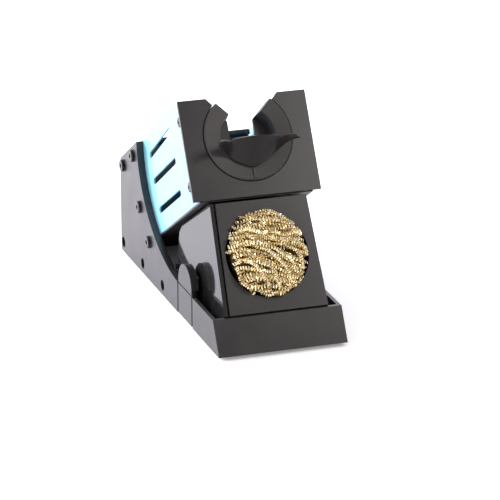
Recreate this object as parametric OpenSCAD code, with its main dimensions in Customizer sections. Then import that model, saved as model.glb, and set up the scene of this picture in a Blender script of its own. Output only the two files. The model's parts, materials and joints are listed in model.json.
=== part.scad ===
// Soldering iron stand: weighted base with two cheeks, a sloping sheet metal cage with a
// slotted funnel for the iron, and a lift-out box of brass wool for cleaning the tip.
// Origin: centre of the footprint, under the feet. The front faces -Y.

/* [Base] */
// Width over the two side walls
base_w = 70; // [69:0.5:71]
// Depth from the front edge to the rear edge
base_d = 175; // [174:0.5:177]
// Height of the low side walls and the front wall
wall_h = 17; // [16.8:0.1:17.2]
// Lean of the front faces from the vertical, in degrees
tilt = 30.5; // [30.3:0.1:30.7]
// Height of the rubber feet
foot_h = 2; // [1.5:0.5:3]
// Thickness of the outer side skin
skin_t = 2; // [1.8:0.1:2.2]
// Step of the inner cheek below the edge of the outer skin
lip = 0.3; // [0.2:0.1:1.4]

/* [Holder] */
// Width of the face plate
plate_w = 69.8; // [69:0.2:70]
// Height of the face plate along the slope
plate_h = 53.6; // [53:0.2:54]
// Outer radius of the funnel insert
insert_r = 23.85; // [23.5:0.05:24]
// Radius of the funnel's throat at the front
throat_r = 15; // [14.8:0.1:15.2]
// Width of the slot at the back of the throat
slot_w = 14; // [12:0.5:14.4]
// Thickness of the cage sheet
sheet_t = 1; // [0.8:0.1:1.2]

/* [Wool box] */
// Width of the box front along its lower edge
box_w_low = 56.7; // [56:0.1:57]
// Width of the box front along its upper edge
box_w_high = 52.9; // [52.5:0.1:53.5]
// Radius of the hole in the front cover
wool_hole_r = 22.2; // [22:0.1:22.4]

/* [Hidden] */
$fn = 64;
eps = 0.01;

// Base
half_w = base_w / 2;
skin_x = half_w - skin_t;            // inner face of the skin
cheek_x = half_w - 4;                // inner face of the cheeks
floor_t = 2;
front_wall_t = 2;
rear_wall_h = 36;
rear_h = 53.4;                       // height of the cheeks' rear edge
curve_start = 66;                    // the cheek's edge is a quarter ellipse from here
curve_a = 78;
curve_b = 60.5;
curve_end = 85;                      // degrees along the ellipse to the top corner
side_holes = [97.5, 134, 170.5];     // distance of the accessory holes from the front
side_hole_z = 5.5;
side_hole_r = 3;
rods = [[121.5, 22], [138.5, 36.6], [151, 62], [169.5, 50.7]];
rod_r = 3.5;
m4_r = 2;
ballast = [50, 70, 6.5];
ballast_y = 98;
ballast_holes = [[-16, 8], [16, 8], [-16, 54], [16, 54]];
feet = [[-26, 13], [26, 13], [-26, 164], [26, 164]];

// Release tabs
tab_y = 57.5;                        // middle of the tab
tab_w = 22.8;
tab_gap = 1.6;
tab_t = 1.8;
tab_arc_z = 19.4;                    // centre of the round top
tab_rim_x = 30.8;                    // inner end of the thumb rest's rim
tab_low = 0.4;
tab_pivot = [33.1, 4.5];
tab_pin_r = 1;

// Holder, in the sloping frame: x, depth behind the front plane, height up the slope
plate_z = 81.9;
plate_t = 2;
funnel_z = 31.85;                    // funnel axis above the plate's lower edge
hole_r = insert_r + 0.4;
cage_x = cheek_x;                    // the cage's outer faces touch the cheeks
cage_low = 0.5;
cage_edge = [[84, 54.3], [45, 57.8], [30, 58.2]];    // upper edge of the sides, rear to front
cross_rod = [83.4, 51.8];
cross_rod_r = 1.6;
flange_x = cage_x - sheet_t - 0.1;
m3_r = 1.5;
plate_screw_spots = [10.7, 45.5];
plate_screw_depth = 13.5;
cage_slots = [[[34.5, 12.3], [76, 12.2]], [[34.5, 29.6], [77.8, 28.6]], [[35, 46.3], [77.5, 43]]];
cage_slot_w = 3.6;
rear_wall_depth = 86;
rear_wall_high = 51.6;
rear_wall_half = 28.2;
throat_back_r = 13.4;
throat_depth = 9;
o_ring_depth = 7;
groove_r = 0.9;
mouth_z = 42.5;                      // the slot widens at 45 degrees from here

// Flap
flap_half = 20.7;
flap_t = 1.4;
flap_stand = 2.6;                    // the lower edge's distance in front of the plate
flap_axis = [3, 19.5];               // depth and height above the plate's lower edge
flap_barrel = 2.5;                   // half length of the flap's barrel
flap_pin_r = 0.7;
flap_pin_half = 19.5;
flap_arc_r = 16;                     // the leaf's lower edge follows this radius round the throat
flap_arc_x = 11.5;                   // and leaves it here for the ears
flap_cols = 24;
flap_rows = 4;

// Wool box, in the same sloping frame
box_low = 20.9;
box_high = 80.1;
box_front = 0.7;
box_side = [[box_front, box_low], [box_front, box_high], [50.5, box_high], [57, 77.6], [61, 72.5],
            [75.5, 47.9], [29.6, box_low]];
box_inside = [[-1, 22.9], [-1, 78.1], [50.1, 78.1], [55.8, 75.9], [59.4, 71.3], [72.7, 48.6], [29.05, 22.9]];
box_pin = [62.9, 60.6];
box_splay = 1.5;                     // degrees by which each side splays towards the back
wool_z = 50.7;
cover_t = 2;
cup_r = 23.5;
wool_r = 21.8;
wool_bulge = 6.5;

black = [0.12, 0.12, 0.13];
blue = [0.55, 0.8, 0.92];
steel = [0.75, 0.75, 0.77];

// ---- helpers ----

// Base frame: depth from the front edge, height from the shell's underside
module on_base() { translate([0, -base_d / 2, foot_h]) children(); }

// Sloping frame of the front faces
module on_slope() { on_base() rotate([-tilt, 0, 0]) children(); }

// Sloping frame with its height counted from the face plate's lower edge
module on_plate() { on_slope() translate([0, 0, plate_z]) children(); }

// A profile in depth and height, extruded across from x0 to x1
module across(x0, x1) { translate([x0, 0, 0]) rotate([90, 0, 90]) linear_extrude(x1 - x0) children(); }

// A profile in x and height, extruded backwards from depth d0 to d1
module backwards(d0, d1) { translate([0, d1, 0]) rotate([90, 0, 0]) linear_extrude(d1 - d0) children(); }

module both_sides() {
    children();
    mirror([1, 0, 0]) children();
}

// Round bar along x
module bar_x(r, x0, x1) { translate([x0, 0, 0]) rotate([0, 90, 0]) cylinder(r = r, h = x1 - x0); }

// Round bar along the funnel's axis
module bar_d(r, d0, d1) { translate([0, d0, 0]) rotate([-90, 0, 0]) cylinder(r = r, h = d1 - d0); }

// Flat slot with round ends between two points
module slot2d(a, b, w) {
    run = norm(b - a);
    translate(a) rotate(atan2(b[1] - a[1], b[0] - a[0])) {
        translate([0, -w / 2]) square([run, w]);
        circle(d = w, $fn = 24);
        translate([run, 0]) circle(d = w, $fn = 24);
    }
}

// Low round head screw along +x, its head's seat at x = 0
module head_screw(head_r, head_h, shank_r, shank_l, key_r) {
    round_r = head_h * 0.35;
    difference() {
        rotate([0, 90, 0]) rotate_extrude($fn = 48)
            polygon(concat([[0, -shank_l], [shank_r, -shank_l], [shank_r, 0], [head_r, 0]],
                           [for (a = [0 : 30 : 90])
                               [head_r - round_r + round_r * cos(a), head_h - round_r + round_r * sin(a)]],
                           [[0, head_h]]));
        translate([head_h * 0.3, 0, 0]) rotate([0, 90, 0]) cylinder(r = key_r, h = head_h, $fn = 6);
    }
}

// ---- base ----

// Edge of the cheek; a drop moves it in at the foot of the curve and fades out towards the top
function cheek_curve(drop) =
    [for (a = [0 : 5 : curve_end])
        [curve_start + drop + curve_a * sin(a), wall_h + curve_b * (1 - cos(a)) - drop * cos(a)]];

module skin_outline() {
    polygon(concat([[0, 0], [wall_h * tan(tilt), wall_h]], cheek_curve(0), [[base_d, rear_h], [base_d, 0]]));
}

module liner_outline() {
    polygon(concat([[curve_start + lip, 0]], cheek_curve(lip), [[base_d, rear_h - lip], [base_d, 0]]));
}

module tab_opening() {
    half = tab_w / 2 + tab_gap;
    translate([skin_x - 3, tab_y - half, -1]) cube([6, 2 * half, wall_h + 3]);
}

module base_shell() {
    lug_y = tab_w / 2 + tab_gap;
    color(black) on_base() difference() {
        union() {
            both_sides() {
                across(skin_x, half_w) skin_outline();
                across(cheek_x, skin_x + eps) liner_outline();
                for (side = [-1, 1])
                    translate([cheek_x, tab_y + side * (lug_y + 1.5) - 1.5, floor_t - eps])
                        cube([skin_t + 2 + eps - 1, 3, 5.5]);
            }
            across(-skin_x - eps, skin_x + eps)
                polygon([[0, 0], [wall_h * tan(tilt), wall_h], [wall_h * tan(tilt) + front_wall_t, wall_h],
                         [front_wall_t, 0]]);
            translate([-skin_x - eps, 1.5, 0]) cube([2 * skin_x + 2 * eps, base_d - 1.5, floor_t]);
            translate([-skin_x - eps, base_d - 3, 0]) cube([2 * skin_x + 2 * eps, 3, rear_wall_h]);
        }
        both_sides() {
            tab_opening();
            for (y = side_holes)
                translate([0, y, side_hole_z]) bar_x(side_hole_r, cheek_x - 2, half_w + 1);
            for (p = rods)
                translate([0, p[0], p[1]]) bar_x(m4_r, cheek_x - 1, half_w + 1);
            translate([tab_pivot[0], tab_y - 15, tab_pivot[1]]) rotate([-90, 0, 0])
                cylinder(r = tab_pin_r, h = 30);
        }
        for (p = feet) translate([p[0], p[1], -1]) cylinder(r = 2, h = 4);
        for (p = ballast_holes) translate([p[0], ballast_y + p[1], -1]) {
            cylinder(r = 2.2, h = 4);
            cylinder(r = 4.2, h = 2.2);
        }
    }
}

module ballast_plate() {
    color(steel) on_base() difference() {
        translate([-ballast[0] / 2, ballast_y, floor_t]) cube(ballast);
        for (p = ballast_holes)
            translate([p[0], ballast_y + p[1], floor_t - 1]) cylinder(r = m4_r, h = ballast[2] + 2);
    }
}

module ballast_screws() {
    color(steel) on_base() for (p = ballast_holes) translate([p[0], ballast_y + p[1], 0.1]) difference() {
        union() {
            cylinder(r = 4, h = 1.1);
            cylinder(r = m4_r, h = 7);
        }
        translate([0, 0, -1]) cylinder(r = 1.3, h = 1.7, $fn = 6);
    }
}

module rubber_feet() {
    color([0.08, 0.08, 0.08]) for (p = feet) translate([p[0], p[1] - base_d / 2, 0]) {
        cylinder(r1 = 4.6, r2 = 5.2, h = foot_h);
        cylinder(r = 2, h = foot_h + floor_t);
    }
}

module tie_rods() {
    color(steel) on_base() for (i = [0 : 3]) {
        // the lowest rod passes under the cage and reaches the cheeks
        reach = i == 0 ? cheek_x : cheek_x - sheet_t;
        translate([0, rods[i][0], rods[i][1]]) difference() {
            bar_x(rod_r, -reach, reach);
            both_sides() bar_x(m4_r, half_w - 11, half_w);
        }
    }
}

module cheek_screws() {
    color([0.2, 0.2, 0.21]) on_base() both_sides()
        for (p = rods) translate([half_w, p[0], p[1]]) head_screw(3.4, 1.6, m4_r, 11, 1.4);
}

// ---- release tabs ----

module tab_pin() {
    color(steel) on_base() translate([tab_pivot[0], tab_y - 15, tab_pivot[1]]) rotate([-90, 0, 0])
        cylinder(r = tab_pin_r, h = 30);
}

module tab_outline(inset) {
    translate([tab_y - tab_w / 2 + inset, tab_low]) square([tab_w - 2 * inset, tab_arc_z - tab_low]);
    translate([tab_y, tab_arc_z]) circle(r = tab_w / 2 - inset);
}

module release_tab() {
    face = half_w - tab_t;
    color(black) on_base() difference() {
        union() {
            across(face, half_w) tab_outline(0);
            // rim that follows the edge of the thumb rest on the inside
            intersection() {
                across(tab_rim_x, face + eps) difference() {
                    tab_outline(0.3);
                    tab_outline(1.5);
                }
                translate([0, 0, wall_h + 3]) cube([100, 200, 100]);
            }
            translate([tab_pivot[0], tab_y - tab_w / 2, tab_pivot[1]]) rotate([-90, 0, 0])
                cylinder(r = 1.9, h = tab_w);
        }
        translate([tab_pivot[0], tab_y - 15, tab_pivot[1]]) rotate([-90, 0, 0])
            cylinder(r = tab_pin_r + 0.05, h = 30);
        // crease at the level of the wall's top
        translate([half_w - 0.5, 0, wall_h]) cube([1, 100, 0.8]);
    }
}

// ---- holder ----

module cage_side() {
    polygon(concat([[plate_t, cage_low], [86.5, cage_low], [90, 4], [100, 8], [108, 14], [122, 38],
                    [122, 51.5]], cage_edge, [[plate_t, plate_h - 1]]));
}

module cage_shell() {
    color(blue) union() {
        on_plate() {
            both_sides() difference() {
                across(cage_x - sheet_t, cage_x) difference() {
                    cage_side();
                    for (s = cage_slots) slot2d(s[0], s[1], cage_slot_w);
                }
                for (z = plate_screw_spots)
                    translate([0, plate_screw_depth, z]) bar_x(m3_r, cage_x - 3, cage_x + 1);
                rod_holes();
            }
            translate([-cage_x + eps, plate_t, cage_low]) cube([2 * cage_x - 2 * eps, 84.5, sheet_t]);
        }
    }
}

// The tie rods' screws seen from the plate's frame
module rod_holes() {
    translate([0, 0, -plate_z]) rotate([tilt, 0, 0])
        for (p = rods) translate([0, p[0], p[1]]) bar_x(m4_r, cage_x - 3, cage_x + 1);
}

// Black plate under the cage's floor
module cage_underside() {
    half = cage_x - 0.1;
    color([0.15, 0.15, 0.16]) on_plate() translate([-half, plate_t, cage_low - 1]) cube([2 * half, 84.5, 1]);
}

// Closes the cage at the back; its feet reach the sides
module cage_rear_wall() {
    color([0.15, 0.15, 0.16]) on_plate() {
        translate([-rear_wall_half, rear_wall_depth - 1, cage_low + sheet_t])
            cube([2 * rear_wall_half, 1, rear_wall_high - cage_low - sheet_t]);
        both_sides() translate([rear_wall_half - 1, rear_wall_depth - 8, cage_low + sheet_t])
            cube([cage_x - sheet_t - rear_wall_half + 1, 8, 8]);
    }
}

// Round bar along the upper edge of the rear wall
module cage_cross_rod() {
    color([0.15, 0.15, 0.16]) on_plate() translate([0, cross_rod[0], cross_rod[1]])
        bar_x(cross_rod_r, -rear_wall_half, rear_wall_half);
}

module notch_outline() {
    top = plate_h + 6;
    run = 19.5 + (top - plate_h) * 0.9;
    polygon([[-run, top], [run, top], [15.4, 49], [15.4, 40], [-15.4, 40], [-15.4, 49]]);
}

module face_plate() {
    flange_low = 3;
    flange_high = 51.5;
    color(black) on_plate() difference() {
        union() {
            translate([-plate_w / 2, 0, 0]) cube([plate_w, plate_t, plate_h]);
            both_sides() translate([flange_x - 1.7, plate_t / 2, flange_low])
                cube([1.7, 21, flange_high - flange_low]);
            translate([0, 0, funnel_z]) bar_d(hole_r + 2, plate_t / 2, plate_t + 7);
        }
        translate([0, 0, funnel_z]) bar_d(hole_r, -1, plate_t + 8);
        backwards(-1, plate_t + 8) notch_outline();
        both_sides() for (z = plate_screw_spots)
            translate([0, plate_screw_depth, z]) bar_x(m3_r, cage_x - 5, cage_x + 1);
    }
}

module plate_screws() {
    color(steel) on_plate() both_sides() for (z = plate_screw_spots)
        translate([cage_x, plate_screw_depth, z]) head_screw(2.7, 1, m3_r, 5, 1.1);
}

// ---- funnel insert and flap ----

// Opening for the iron: a round bottom, straight sides and a mouth that widens at 45 degrees
module iron_slot() {
    half = slot_w / 2;
    run = 15.8;
    translate([0, 0, funnel_z]) bar_d(half, -3, throat_depth + 3);
    backwards(-3, throat_depth + 3)
        polygon([[-half, funnel_z], [-half, mouth_z], [-half - run, mouth_z + run],
                 [half + run, mouth_z + run], [half, mouth_z], [half, funnel_z]]);
}

module o_ring(r) {
    translate([0, 0, funnel_z]) rotate([-90, 0, 0]) rotate_extrude($fn = 96)
        translate([insert_r - 0.55, o_ring_depth]) circle(r = r, $fn = 24);
}

module funnel_insert() {
    outer = insert_r;
    color(black) on_plate() difference() {
        union() {
            translate([0, 0, funnel_z]) rotate([-90, 0, 0]) rotate_extrude($fn = 96)
                polygon([[outer - 0.65, -1.5], [outer, -0.8], [outer, throat_depth],
                         [throat_r + 2, throat_depth + 2], [0, throat_depth + 2], [0, throat_depth],
                         [throat_back_r, throat_depth], [throat_r, -0.9]]);
            // small rib below the flap
            translate([-0.7, -2, 9.2]) cube([1.4, 2.4, 5]);
        }
        o_ring(groove_r);
        iron_slot();
        translate([0, flap_axis[0], flap_axis[1]]) bar_x(flap_pin_r, -insert_r, insert_r);
    }
}

module insert_o_ring() {
    color([0.07, 0.07, 0.07]) on_plate() difference() {
        o_ring(groove_r - 0.06);
        iron_slot();
    }
}

module flap_pin() {
    color(steel) on_plate() translate([0, flap_axis[0], flap_axis[1]]) bar_x(flap_pin_r, -flap_pin_half, flap_pin_half);
}

// Leaf of the flap. Its lower edge follows the throat down to a blunt tip and then rises in a
// straight line to the ears; its upper edge leans forward, with a dip on each side. Both sweep
// forward at the ears. Each edge gives how far it stands in front of the plate, and its height.
function low_edge(x) =
    x < flap_arc_x ? [flap_stand, funnel_z - sqrt(flap_arc_r * flap_arc_r - x * x) - exp(-pow(x / 4, 2))]
    : [flap_stand + 15.5 * pow((x - flap_arc_x) / (flap_half - flap_arc_x), 1.8),
       min(24.6, 20.73 + 0.62 * (x - flap_arc_x))];
function high_edge(x) =
    let (s = x / flap_half)
    [9.5 + 7.7 * pow(s, 3), 29.6 - 2.9 * pow(s, 1.5) - 1.1 * exp(-pow((s - 0.66) / 0.1, 2))];
// Point on the leaf's front face, u across and t from the lower to the upper edge
function leaf_front(u, t) =
    let (a = low_edge(abs(u)), b = high_edge(abs(u)))
    [u, -(a[0] + (b[0] - a[0]) * t), a[1] + (b[1] - a[1]) * t];
function leaf_normal(u, t) =
    let (n = cross(leaf_front(u, t + 0.05) - leaf_front(u, t - 0.05),
                   leaf_front(u + 0.1, t) - leaf_front(u - 0.1, t)))
    n / norm(n);
// Column i, row j, back face 1 or front face 0
function leaf_point(i, j, back) =
    let (u = (2 * i / flap_cols - 1) * flap_half, t = j / flap_rows)
    leaf_front(u, t) + (back == 1 ? leaf_normal(u, t) * flap_t : [0, 0, 0]);

module leaf() {
    ring = 2 * (flap_rows + 1);
    // each column is a closed loop: up the front face, then down the back face
    points = [for (i = [0 : flap_cols]) each concat(
        [for (j = [0 : flap_rows]) leaf_point(i, j, 0)],
        [for (j = [flap_rows : -1 : 0]) leaf_point(i, j, 1)])];
    walls = [for (i = [0 : flap_cols - 1], k = [0 : ring - 1])
        let (n = (k + 1) % ring) each [
            [i * ring + k, (i + 1) * ring + n, (i + 1) * ring + k],
            [i * ring + k, i * ring + n, (i + 1) * ring + n]]];
    // the two ends are strips between the front and the back face
    ends = [for (j = [0 : flap_rows - 1]) let (m = ring - 1 - j, e = flap_cols * ring) each [
        [j, m - 1, j + 1], [j, m, m - 1], [e + j, e + j + 1, e + m - 1], [e + j, e + m - 1, e + m]]];
    polyhedron(points = points, faces = concat(walls, ends));
}

module rest_flap() {
    color(black) on_plate() difference() {
        union() {
            leaf();
            translate([0, flap_axis[0], flap_axis[1]]) bar_x(1.4, -flap_barrel, flap_barrel);
            across(-flap_barrel, flap_barrel)
                polygon([[-3.4, 18.2], [flap_axis[0], flap_axis[1] - 1.2], [flap_axis[0], flap_axis[1] + 1.2],
                         [-4.8, 21.2]]);
        }
        translate([0, flap_axis[0], flap_axis[1]]) bar_x(flap_pin_r + 0.05, -5, 5);
    }
}

// ---- wool box ----

// Front outline of the box, drawn in by an inset on its left and another on its other sides
module cover_outline(left, inset) {
    polygon([[left - box_w_low / 2, box_low + inset], [box_w_low / 2 - inset, box_low + inset],
             [box_w_high / 2 - inset, box_high - inset], [left - box_w_high / 2, box_high - inset]]);
}

// Front outline of the box, drawn in by an inset on every side
module box_front_outline(inset) {
    slope = (box_w_low - box_w_high) / 2 / (box_high - box_low);
    low = box_w_low / 2 - inset;
    high = box_w_high / 2 - inset;
    polygon([[-low - slope * inset, box_low + inset], [low + slope * inset, box_low + inset],
             [high - slope * inset, box_high - inset], [-high + slope * inset, box_high - inset]]);
}

// Everything inside the plane of the box's right side, which leans in and splays backwards
module box_side_limit(inset) {
    lean = atan((box_w_low - box_w_high) / 2 / (box_high - box_low));
    translate([box_w_low / 2 - inset, box_front, box_low]) rotate([0, -lean, -box_splay])
        translate([-80, -10, -20]) cube([80, 120, 120]);
}

module box_body(side, inset) {
    intersection() {
        across(-40, 40) polygon(side);
        box_side_limit(inset);
        mirror([1, 0, 0]) box_side_limit(inset);
    }
}

module box_shell() {
    ledge = box_front + cover_t + 0.05;
    color(black) on_slope() difference() {
        union() {
            difference() {
                box_body(box_side, 0);
                box_body(box_inside, 2);
                // seat of the front cover, open on the right, above and below
                backwards(box_front - 1, ledge) cover_outline(2, -1);
            }
            // ledge that the front cover rests on
            backwards(ledge, ledge + 2) difference() {
                box_front_outline(1.9);
                box_front_outline(3.6);
            }
        }
        translate([0, box_pin[0], box_pin[1]]) bar_x(m3_r, -40, 40);
    }
}

module box_pins() {
    color(steel) on_slope() both_sides() translate([0, box_pin[0], box_pin[1]]) bar_x(m3_r, 24.5, 31.8);
}

module box_cover() {
    color(black) on_slope() {
        backwards(box_front, box_front + cover_t) difference() {
            cover_outline(3, 0);
            translate([0, wool_z]) circle(r = wool_hole_r, $fn = 96);
        }
        both_sides() for (z = [30, 66])
            translate([21.2, box_front + cover_t - eps, z]) cube([1.4, 9, 6]);
    }
}

module wool_cup() {
    back = box_front + cover_t;
    color([0.18, 0.18, 0.19]) on_slope() translate([0, 0, wool_z]) difference() {
        bar_d(cup_r, back, back + 22);
        bar_d(wool_hole_r + 0.1, back - 1, back + 20.5);
    }
}

module brass_wool() {
    ball = (wool_r * wool_r + wool_bulge * wool_bulge) / (2 * wool_bulge);
    edge = asin(wool_r / ball);
    front = -2;
    color([0.85, 0.68, 0.3]) on_slope() translate([0, 0, wool_z]) rotate([-90, 0, 0])
        rotate_extrude($fn = 96)
            polygon(concat([for (i = [0 : 8]) let (a = edge * i / 8)
                               [ball * sin(a), front - wool_bulge + ball - ball * cos(a)]],
                           [[wool_r, box_front + cover_t + 20], [0, box_front + cover_t + 20]]));
}

base_shell();
ballast_plate();
ballast_screws();
rubber_feet();
tie_rods();
cheek_screws();
cage_shell();
cage_underside();
cage_rear_wall();
cage_cross_rod();
face_plate();
plate_screws();
mirror([1, 0, 0]) tab_pin();  // left_tab_pin
tab_pin();  // right_tab_pin
mirror([1, 0, 0]) release_tab();  // left_release_tab
release_tab();  // right_release_tab
box_shell();
box_pins();
box_cover();
wool_cup();
brass_wool();
funnel_insert();
insert_o_ring();
flap_pin();
rest_flap();
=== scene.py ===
"""Looks of the soldering iron stand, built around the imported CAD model. Lengths are in metres."""

import json
import math
import random

import bmesh
import bpy
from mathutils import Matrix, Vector


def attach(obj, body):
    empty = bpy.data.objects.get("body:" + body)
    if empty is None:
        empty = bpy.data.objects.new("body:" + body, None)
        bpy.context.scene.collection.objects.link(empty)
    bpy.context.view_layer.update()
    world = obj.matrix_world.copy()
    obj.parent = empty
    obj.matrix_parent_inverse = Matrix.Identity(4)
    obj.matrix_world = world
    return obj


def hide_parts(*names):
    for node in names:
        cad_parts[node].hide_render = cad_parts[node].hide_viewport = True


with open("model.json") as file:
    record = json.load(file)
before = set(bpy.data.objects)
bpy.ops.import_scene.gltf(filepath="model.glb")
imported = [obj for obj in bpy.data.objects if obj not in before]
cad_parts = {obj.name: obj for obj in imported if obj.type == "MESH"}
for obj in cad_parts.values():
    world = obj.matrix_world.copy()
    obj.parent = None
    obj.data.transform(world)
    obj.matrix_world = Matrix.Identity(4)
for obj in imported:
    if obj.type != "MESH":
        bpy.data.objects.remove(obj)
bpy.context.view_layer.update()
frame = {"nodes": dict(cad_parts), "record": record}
nodes = frame["nodes"]

MM = 0.001
TILT = math.radians(30.5)

# The sloping frame of the stand's front: across, back into the stand, and up the slope
BACK = Vector((0, math.cos(TILT), -math.sin(TILT)))
UP_SLOPE = Vector((0, math.sin(TILT), math.cos(TILT)))
ACROSS = Vector((1, 0, 0))
FRONT_EDGE = Vector((0, -0.0875, 0.002))


# ---- camera, stage and light ----

CAMERA_AZIMUTH = math.radians(-18.66)
CAMERA_ELEVATION = math.radians(19.72)
CAMERA_TARGET = Vector((0.0019, -0.0275, 0.0361))
CAMERA_DISTANCE = 1.6729
LENS_MM = 228.9
SENSOR_MM = 36

FLOOR_HALF = 4
FLOOR_GREY = 0.9
FLOOR_GLOW = 0.25      # keeps the floor white where the stand shades it

# The studio's light is dim and warm in front of the stand, bright and cool behind it
WARM_WHITE = (1.0, 0.95, 0.93)
COOL_WHITE = (0.99, 0.975, 1.09)
BRIGHT_SIDE = (-0.5, 0.87, 0)
FRONT_STRENGTH = 0.45
BACK_STRENGTH = 1.75


def make_camera():
    toward_camera = Vector((
        math.sin(CAMERA_AZIMUTH) * math.cos(CAMERA_ELEVATION),
        -math.cos(CAMERA_AZIMUTH) * math.cos(CAMERA_ELEVATION),
        math.sin(CAMERA_ELEVATION),
    ))
    data = bpy.data.cameras.new("camera")
    data.lens = LENS_MM
    data.sensor_width = SENSOR_MM
    camera = bpy.data.objects.new("camera", data)
    camera.location = CAMERA_TARGET + toward_camera * CAMERA_DISTANCE
    camera.rotation_mode = "QUATERNION"
    camera.rotation_quaternion = (-toward_camera).to_track_quat("-Z", "Y")
    bpy.context.scene.collection.objects.link(camera)
    bpy.context.scene.camera = camera


def make_stage():
    mesh = bpy.data.meshes.new("floor")
    h = FLOOR_HALF
    mesh.from_pydata([(-h, -h, 0), (h, -h, 0), (h, h, 0), (-h, h, 0)], [], [(0, 1, 2, 3)])
    floor = bpy.data.objects.new("floor", mesh)
    bpy.context.scene.collection.objects.link(floor)
    material, shader, _, _ = new_material("floor")
    shader.inputs["Base Color"].default_value = (FLOOR_GREY, FLOOR_GREY, FLOOR_GREY, 1)
    shader.inputs["Roughness"].default_value = 0.9
    shader.inputs["Specular IOR Level"].default_value = 0.0
    shader.inputs["Emission Color"].default_value = (1, 1, 1, 1)
    shader.inputs["Emission Strength"].default_value = FLOOR_GLOW
    mesh.materials.append(material)


def make_light(name, place, aim, size, power, color, glossy=True):
    """A square area light; size is its side in metres, and glossy says whether reflections show it."""
    data = bpy.data.lights.new(name, "AREA")
    data.shape = "SQUARE"
    data.size = size
    data.energy = power
    data.color = color
    light = bpy.data.objects.new(name, data)
    light.location = place
    light.rotation_mode = "QUATERNION"
    light.rotation_quaternion = (Vector(aim) - Vector(place)).to_track_quat("-Z", "Y")
    light.visible_glossy = glossy
    bpy.context.scene.collection.objects.link(light)


def make_world():
    """A world whose light runs from dim and warm in front to bright and cool behind and to the left."""
    world = bpy.data.worlds.new("studio")
    world.use_nodes = True
    tree = world.node_tree
    background = tree.nodes["Background"]
    direction = tree.nodes.new("ShaderNodeTexCoord")
    toward_back = tree.nodes.new("ShaderNodeVectorMath")
    toward_back.operation = "DOT_PRODUCT"
    toward_back.inputs[1].default_value = BRIGHT_SIDE
    tree.links.new(direction.outputs["Generated"], toward_back.inputs[0])
    backness = add_range(tree, toward_back.outputs["Value"], 0, 1, -0.5, 0.6)
    tree.links.new(add_mix(tree, backness, WARM_WHITE, COOL_WHITE), background.inputs["Color"])
    strength = add_range(tree, backness, FRONT_STRENGTH, BACK_STRENGTH, 0, 1)
    tree.links.new(strength, background.inputs["Strength"])
    bpy.context.scene.world = world


def make_lights():
    make_world()
    make_light("key_back_left", (-0.72, 1.4, 0.5), (0, 0.03, 0.05), 0.5, 64, COOL_WHITE, glossy=False)
    make_light("near_front_right", (0.3, -0.38, 0.4), (0.02, -0.02, 0.07), 0.16, 0.84, WARM_WHITE)


# ---- materials ----

GRAIN_DEPTH = 0.1 * MM


def new_material(name):
    """A node material; gives it with its Principled shader, its tree and its object coordinates."""
    material = bpy.data.materials.new(name)
    material.use_nodes = True
    tree = material.node_tree
    shader = tree.nodes["Principled BSDF"]
    coordinates = tree.nodes.new("ShaderNodeTexCoord")
    return material, shader, tree, coordinates.outputs["Object"]


def add_noise(tree, coordinates, scale, detail):
    node = tree.nodes.new("ShaderNodeTexNoise")
    node.inputs["Scale"].default_value = scale
    node.inputs["Detail"].default_value = detail
    node.inputs["Roughness"].default_value = 0.55
    tree.links.new(coordinates, node.inputs["Vector"])
    return node.outputs["Fac"]


def add_range(tree, value, low, high, start=0.3, stop=0.7):
    node = tree.nodes.new("ShaderNodeMapRange")
    node.inputs["From Min"].default_value = start
    node.inputs["From Max"].default_value = stop
    node.inputs["To Min"].default_value = low
    node.inputs["To Max"].default_value = high
    tree.links.new(value, node.inputs["Value"])
    return node.outputs["Result"]


def add_mix(tree, factor, dark, light):
    node = tree.nodes.new("ShaderNodeMix")
    node.data_type = "RGBA"
    node.inputs["A"].default_value = (*dark, 1)
    node.inputs["B"].default_value = (*light, 1)
    tree.links.new(factor, node.inputs["Factor"])
    return node.outputs["Result"]


def add_bump(tree, shader, height, strength, distance):
    node = tree.nodes.new("ShaderNodeBump")
    node.inputs["Strength"].default_value = strength
    node.inputs["Distance"].default_value = distance
    tree.links.new(height, node.inputs["Height"])
    tree.links.new(node.outputs["Normal"], shader.inputs["Normal"])


def surface(name, dark, light, rough, grain, bump, metallic=0.0, coat=0.0, blotch=60.0, specular=0.5):
    """A material whose colour and roughness drift slowly, with a fine grain.

    dark and light are the colour's ends, rough is the roughness's; grain and blotch are noise scales in 1/m.
    """
    material, shader, tree, coordinates = new_material(name)
    drift = add_noise(tree, coordinates, blotch, 4.0)
    fine = add_noise(tree, coordinates, grain, 2.0)
    tree.links.new(add_mix(tree, add_range(tree, drift, 0, 1), dark, light), shader.inputs["Base Color"])
    tree.links.new(add_range(tree, drift, rough[0], rough[1]), shader.inputs["Roughness"])
    shader.inputs["Metallic"].default_value = metallic
    shader.inputs["Coat Weight"].default_value = coat
    shader.inputs["Specular IOR Level"].default_value = specular
    add_bump(tree, shader, fine, bump, GRAIN_DEPTH)
    return material


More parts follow.
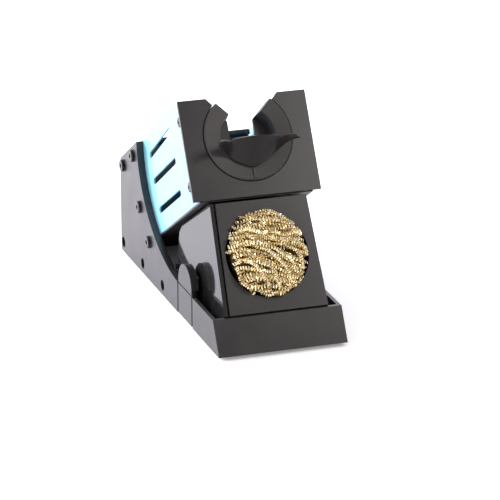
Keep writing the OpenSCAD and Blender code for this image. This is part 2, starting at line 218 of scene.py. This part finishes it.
SURFACES = {
    "black_plastic": dict(
        dark=(0.013, 0.0122, 0.012), light=(0.019, 0.0178, 0.0175), rough=(0.3, 0.36), grain=2600, bump=0.35),
    "box_plastic": dict(
        dark=(0.013, 0.0122, 0.012), light=(0.017, 0.016, 0.0158), rough=(0.06, 0.09), grain=1800, bump=0.04),
    "cover_plastic": dict(
        dark=(0.015, 0.014, 0.0135), light=(0.022, 0.02, 0.0195), rough=(0.34, 0.42), grain=2600, bump=0.35),
    "funnel_plastic": dict(
        dark=(0.023, 0.0205, 0.0197), light=(0.031, 0.028, 0.027), rough=(0.42, 0.5), grain=2400, bump=0.3),
    # flap_plastic: darker and less shiny than the other black plastic; this darkness is painted shade,
    # standing in for the shade the flap sits in
    "flap_plastic": dict(
        dark=(0.01, 0.008, 0.0076), light=(0.014, 0.0115, 0.011), rough=(0.26, 0.32), grain=2000, bump=0.12,
        specular=0.2),
    "blue_sheet": dict(
        dark=(0.2, 0.5, 0.62), light=(0.23, 0.54, 0.66), rough=(0.34, 0.42), grain=1500, bump=0.35, coat=0.2),
    # black_sheet: the black sheet metal's own colour; where it covers the cage's underside, its black is
    # painted shade, standing in for the shade under the cage
    "black_sheet": dict(
        dark=(0.012, 0.012, 0.013), light=(0.018, 0.018, 0.019), rough=(0.38, 0.46), grain=1500, bump=0.4),
    "black_screws": dict(
        dark=(0.02, 0.02, 0.022), light=(0.04, 0.04, 0.042), rough=(0.25, 0.34), grain=3000, bump=0.2,
        metallic=0.6),
    "zinc_steel": dict(
        dark=(0.5, 0.5, 0.51), light=(0.66, 0.66, 0.68), rough=(0.24, 0.36), grain=2500, bump=0.25,
        metallic=1.0),
    "rubber": dict(
        dark=(0.012, 0.012, 0.012), light=(0.02, 0.02, 0.02), rough=(0.7, 0.85), grain=2200, bump=0.5),
    "brass_wool": dict(
        dark=(0.85, 0.64, 0.3), light=(0.97, 0.88, 0.6), rough=(0.14, 0.28), grain=1500, bump=0.1,
        metallic=1.0, blotch=400.0),
    # wool_shade_core: the dome under the strands; its dark colour is painted shade, standing in for the shade
    # deep inside the wool
    "wool_shade_core": dict(
        dark=(0.02, 0.012, 0.004), light=(0.1, 0.06, 0.02), rough=(0.5, 0.7), grain=1400, bump=0.8,
        metallic=0.5, blotch=500.0),
}


# ---- shells with rounded edges ----

WELD_DISTANCE = 0.001 * MM
FLAT_ANGLE = math.radians(0.6)     # edges flatter than this are dissolved
SHARP_ANGLE = math.radians(28)     # edges sharper than this are rounded
EDGE_RADII_MM = {
    "base_shell": 0.6, "face_plate": 0.4, "box_shell": 0.45, "box_cover": 0.35, "cage_shell": 0.25,
    "left_release_tab": 0.3, "right_release_tab": 0.3, "funnel_insert": 0.35, "rest_flap": 0.3,
}


def link(name, mesh, material):
    """A new object in the scene, with one material."""
    thing = bpy.data.objects.new(name, mesh)
    bpy.context.scene.collection.objects.link(thing)
    mesh.materials.clear()
    mesh.materials.append(material)
    return thing


def apply_modifiers(thing):
    """Replaces the object's mesh by its evaluated one, so that no modifier is left."""
    bpy.context.view_layer.update()
    evaluated = thing.evaluated_get(bpy.context.evaluated_depsgraph_get())
    mesh = bpy.data.meshes.new_from_object(evaluated)
    thing.modifiers.clear()
    thing.data = mesh


def rounded(node, width):
    """Puts a copy with rounded edges in the place of a CAD node."""
    work = bmesh.new()
    work.from_mesh(nodes[node].data)
    bmesh.ops.remove_doubles(work, verts=work.verts, dist=WELD_DISTANCE)
    bmesh.ops.dissolve_limit(
        work, angle_limit=FLAT_ANGLE, verts=work.verts, edges=work.edges, delimit={"NORMAL"})
    mesh = bpy.data.meshes.new(node + "_rounded")
    work.to_mesh(mesh)
    work.free()
    thing = link(node + "_rounded", mesh, materials[slot_of[node]])
    bevel = thing.modifiers.new("edges", "BEVEL")
    bevel.width = width
    bevel.segments = 2
    bevel.limit_method = "ANGLE"
    bevel.angle_limit = SHARP_ANGLE
    bevel.use_clamp_overlap = True
    weighted = thing.modifiers.new("normals", "WEIGHTED_NORMAL")
    weighted.keep_sharp = True
    weighted.weight = 80
    for face in mesh.polygons:
        face.use_smooth = True
    apply_modifiers(thing)
    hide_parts(node)
    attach(thing, body_of[node])


# ---- brass wool ----

# The pad's own scale runs from -1 to 1, across as p and up the slope as q
WOOL_CENTRE = (0.0, 51.3 * MM)     # across, up the slope
WOOL_HALF = (21.3 * MM, 23.0 * MM)
WOOL_BULGE = 6.2 * MM              # the middle stands this far in front of the rim
WOOL_RIM_DEPTH = -0.8 * MM
CROWN_POWER = 4.5                  # a high power gives a flat middle and a steep rim
CORE_SINK = 3.1 * MM               # the core, dark with painted shade, lies this far below the crown
CORE_REACH = 0.93
CORE_BACK = 21 * MM
CORE_SIDES = 64
CORE_RINGS = 12
COIL_R = 1.15 * MM
COIL_PITCH = 1.45 * MM
COIL_SIDES = 8
RIBBON_W = 0.72 * MM
RIBBON_T = 0.1 * MM
ROW_STEPS = 44                     # steps of a rope's path for each unit of p
ROW_LIFT = 0.9 * MM                # how far a rope weaves in and out of its bed
CROSS_STEPS = 40
CROSS_SINK = -0.7 * MM
CROSS_REACH = 1.03
CROSS_DIVE = 2.2 * MM              # how far a crossing rope's ends go down
# Two beds of ropes, the lower one leaning the other way: rows, sink, lean and reach
WOOL_BEDS = ((17, 1.9 * MM, -0.3, 0.93), (18, 0.2 * MM, 0.12, 1.02))
# The thick ropes that lie on top: level, lean and reach
TOP_ROPES = ((0.44, 0.13, 0.9), (0.3, 0.2, 0.55))
TOP_SINK = -1.3 * MM
# Ropes that lie across the rows: start, stop and bow
CROSSING = (
    ((-0.8, -0.1), (-0.15, -0.85), 0.12),
    ((-0.55, 0.0), (0.15, -0.9), 0.1),
    ((-0.3, 0.12), (0.4, -0.8), 0.14),
    ((0.0, 0.1), (0.6, -0.6), 0.1),
    ((0.25, 0.15), (0.8, -0.4), 0.12),
    ((-0.95, -0.3), (-0.5, -0.85), -0.1),
    ((-0.6, 0.5), (0.1, 0.12), -0.1),
    ((0.35, 0.3), (0.95, -0.12), 0.08),
    ((-0.1, 0.95), (0.55, 0.68), 0.1),
)


def slope_point(across, depth, up):
    """A point given across, back into the stand and up the slope from the front's lower edge."""
    return FRONT_EDGE + ACROSS * across + BACK * depth + UP_SLOPE * up


def wool_surface(p, q, sink):
    """The point of the pad's crown at p and q, moved down by sink."""
    r = math.hypot(p, q)
    depth = -WOOL_BULGE * (1 - min(1.0, r) ** CROWN_POWER) + sink + WOOL_RIM_DEPTH
    return slope_point(WOOL_CENTRE[0] + p * WOOL_HALF[0], depth, WOOL_CENTRE[1] + q * WOOL_HALF[1])


def row_path(rng, level, sink, lean, reach):
    """Points along one rope of wool: a row that drops to the right, wavers and weaves in and out."""
    half = math.sqrt(max(0.02, 1 - level ** 2)) * reach
    # the rows just below the middle drop the most
    slope = lean + 0.5 * max(0.0, 0.6 - abs(level + 0.15))
    waves = [(rng.uniform(2, 4), rng.uniform(0, 6), rng.uniform(0.02, 0.06)),
             (rng.uniform(6, 11), rng.uniform(0, 6), rng.uniform(0.015, 0.04))]
    start, stop = -half * rng.uniform(0.92, 1.06), half * rng.uniform(0.92, 1.06)
    steps = max(8, int((stop - start) * ROW_STEPS))
    path = []
    for i in range(steps + 1):
        p = start + (stop - start) * i / steps
        q = level - slope * p - 0.1 * p * p
        q += sum(size * math.sin(rate * p + phase) for rate, phase, size in waves)
        lift = ROW_LIFT * math.sin(waves[0][0] * 1.7 * p + waves[1][1])
        path.append(pull_in(p, q, sink + lift, reach))
    return path


def cross_path(rng, start, stop, bow):
    """Points along a short rope that lies across the rows, its ends diving between them."""
    phase = rng.uniform(0, 6)
    path = []
    for i in range(CROSS_STEPS + 1):
        t = i / CROSS_STEPS
        aside = bow * math.sin(math.pi * t) + 0.02 * math.sin(9 * t + phase)
        p = start[0] + (stop[0] - start[0]) * t + aside * (start[1] - stop[1])
        q = start[1] + (stop[1] - start[1]) * t + aside * (stop[0] - start[0])
        dive = CROSS_DIVE * (2 * t - 1) ** 6
        path.append(pull_in(p, q, CROSS_SINK + dive, CROSS_REACH))
    return path


def pull_in(p, q, sink, reach):
    """A rope's point, kept within the pad's uneven rim."""
    angle = math.atan2(q, p)
    rim = reach * (0.965 + 0.045 * math.sin(3 * angle + 0.8) + 0.035 * math.sin(8 * angle + 2.0))
    r = math.hypot(p, q)
    if r > rim:
        p, q = p * rim / r, q * rim / r
    return wool_surface(p, q, sink)


def add_coil(work, path, radius, pitch, rng):
    """Adds a flat ribbon that is coiled round a path and twists as it goes, closed at both ends."""
    lengths = [0.0]
    for a, b in zip(path, path[1:]):
        lengths.append(lengths[-1] + (b - a).length)
    count = int(lengths[-1] / pitch * COIL_SIDES)
    phase = rng.uniform(0, 6)
    twist = 0.0
    rings = []
    k = 0
    for i in range(count):
        s = i / COIL_SIDES * pitch
        while k < len(path) - 2 and lengths[k + 1] < s:
            k += 1
        a, b = path[k], path[k + 1]
        along = (b - a).normalized()
        centre = a.lerp(b, min(1, (s - lengths[k]) / max(1e-9, lengths[k + 1] - lengths[k])))
        out = (-BACK - along * along.dot(-BACK)).normalized()
        side = along.cross(out)
        turn = 2 * math.pi * i / COIL_SIDES + phase
        radial = out * math.cos(turn) + side * math.sin(turn)
        twist = 0.8 * twist + rng.uniform(-0.35, 0.35)
        flat = along * math.cos(twist) + radial * math.sin(twist)
        thick = radial * math.cos(twist) - along * math.sin(twist)
        middle = centre + radial * radius * rng.uniform(0.9, 1.1)
        rings.append([
            work.verts.new(middle + flat * (e * RIBBON_W / 2) + thick * (f * RIBBON_T / 2))
            for e, f in ((-1, -1), (1, -1), (1, 1), (-1, 1))])
    for a, b in zip(rings, rings[1:]):
        for j in range(4):
            n = (j + 1) % 4
            work.faces.new((a[j], a[n], b[n], b[j]))
    if rings:
        work.faces.new(rings[0][::-1])
        work.faces.new(rings[-1])


def make_wool():
    rng = random.Random(11)
    work = bmesh.new()
    for rows, sink, lean, reach in WOOL_BEDS:
        for k in range(rows):
            level = 0.97 - 1.94 * (k + 0.5) / rows + rng.uniform(-0.02, 0.02)
            path = row_path(rng, level, sink + rng.uniform(-0.3, 0.3) * MM, lean, reach)
            add_coil(work, path, COIL_R * rng.uniform(0.85, 1.2), COIL_PITCH * rng.uniform(0.85, 1.15), rng)
    for level, lean, reach in TOP_ROPES:
        path = row_path(rng, level, TOP_SINK, lean, reach)
        add_coil(work, path, COIL_R * 1.1, COIL_PITCH * 0.75, rng)
    for start, stop, bow in CROSSING:
        path = cross_path(rng, start, stop, bow)
        add_coil(work, path, COIL_R * rng.uniform(0.85, 1.05), COIL_PITCH * 0.8, rng)
    bmesh.ops.recalc_face_normals(work, faces=work.faces)
    mesh = bpy.data.meshes.new("wool_strands")
    work.to_mesh(mesh)
    work.free()
    strands = link("wool_strands", mesh, materials["brass_wool"])
    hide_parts("brass_wool")
    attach(strands, "wool_insert")
    core = make_wool_shade_core()
    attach(core, "wool_insert")


def circle_points(radius):
    """Points of a circle on the pad's scale."""
    return [(radius * math.cos(2 * math.pi * i / CORE_SIDES), radius * math.sin(2 * math.pi * i / CORE_SIDES))
            for i in range(CORE_SIDES)]


def make_wool_shade_core():
    """A closed dome that fills the cup under the strands; its dark colour is painted shade, standing in for
    the shade deep inside the pad.
    """
    work = bmesh.new()
    crown = work.verts.new(wool_surface(0, 0, CORE_SINK))
    rings = [
        [work.verts.new(wool_surface(p, q, CORE_SINK)) for p, q in circle_points(CORE_REACH * j / CORE_RINGS)]
        for j in range(1, CORE_RINGS + 1)]
    back = [
        work.verts.new(slope_point(x, CORE_BACK, WOOL_CENTRE[1] + y))
        for x, y in circle_points(CORE_REACH * WOOL_HALF[0])]
    rings.append(back)
    for i in range(CORE_SIDES):
        n = (i + 1) % CORE_SIDES
        work.faces.new((crown, rings[0][i], rings[0][n]))
        for a, b in zip(rings, rings[1:]):
            work.faces.new((a[i], b[i], b[n], a[n]))
    work.faces.new(back[::-1])
    bmesh.ops.recalc_face_normals(work, faces=work.faces)
    mesh = bpy.data.meshes.new("wool_shade_core")
    work.to_mesh(mesh)
    work.free()
    return link("wool_shade_core", mesh, materials["wool_shade_core"])


# ---- the whole scene ----

make_camera()
make_stage()
make_lights()
bpy.context.scene.view_settings.view_transform = "Standard"

materials = {name: surface(name, **look) for name, look in SURFACES.items()}
slot_of = {part["node"]: part["material_slot"] for part in frame["record"]["subparts"]}
body_of = {node: body for body, members in frame["record"]["behaviour"]["bodies"].items() for node in members}
for name, thing in nodes.items():
    thing.data.materials.clear()
    thing.data.materials.append(materials[slot_of[name]])

for node, radius in EDGE_RADII_MM.items():
    rounded(node, radius * MM)

make_wool()
